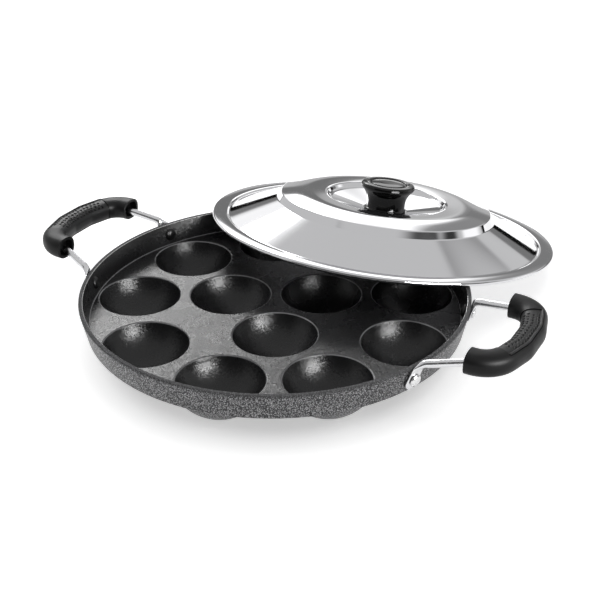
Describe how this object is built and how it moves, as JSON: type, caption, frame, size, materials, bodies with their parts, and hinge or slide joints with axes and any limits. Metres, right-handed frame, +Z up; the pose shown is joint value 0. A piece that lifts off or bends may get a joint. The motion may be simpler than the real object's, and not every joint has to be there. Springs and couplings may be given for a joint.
{
  "type": "paniyaram pan",
  "caption": "Round shallow pan with hemispherical cups sunk in its plate, a riveted wire handle with a black grip on each side, and a knobbed steel lid leaning on its rim.",
  "frame": {"origin": "centre of the plate's top face, on the pan's axis", "axes": "+Z up along the pan's axis; +X through the middle of the handle that the picture shows on the right; +Y away from the cook, roughly towards the leaning lid"},
  "size_m": [0.3183, 0.3514, 0.0567],
  "materials": {
    "coating": "matte dark non-stick coating inside, grey hammered coat outside, on aluminium",
    "wire_steel": "bright plated steel wire",
    "rivet_aluminium": "bare outside; coated dark like the pan inside",
    "grip_bakelite": "satin black phenolic moulding",
    "pad_soft": "matte black, dimpled",
    "lid_steel": "mirror-polished stainless steel sheet",
    "knob_plastic": "gloss black phenolic moulding",
    "insert_brass": "turned, hidden in the knob",
    "screw_steel": "plain steel"
  },
  "bodies": {
    "pan": {"left_grip_lower": "grip_bakelite", "left_grip_pad": "pad_soft", "left_grip_screw_back": "screw_steel", "left_grip_screw_front": "screw_steel", "left_grip_upper": "grip_bakelite", "left_handle_wire": "wire_steel", "left_rivet_back": "rivet_aluminium", "left_rivet_front": "rivet_aluminium", "pan_body": "coating", "right_grip_lower": "grip_bakelite", "right_grip_pad": "pad_soft", "right_grip_screw_back": "screw_steel", "right_grip_screw_front": "screw_steel", "right_grip_upper": "grip_bakelite", "right_handle_wire": "wire_steel", "right_rivet_back": "rivet_aluminium", "right_rivet_front": "rivet_aluminium"},
    "lid": {"lid_shell": "lid_steel", "lid_knob": "knob_plastic", "knob_insert": "insert_brass", "knob_washer": "screw_steel", "knob_screw": "screw_steel"}
  },
  "joints": [
    {"name": "lid_swing", "type": "hinge", "parent": "pan", "child": "lid", "pos_m": [-0.00628, -0.07183, -0.62393], "axis": [0.9962, -0.0872, 0], "range_deg": [0, 11.06]}
  ]
}
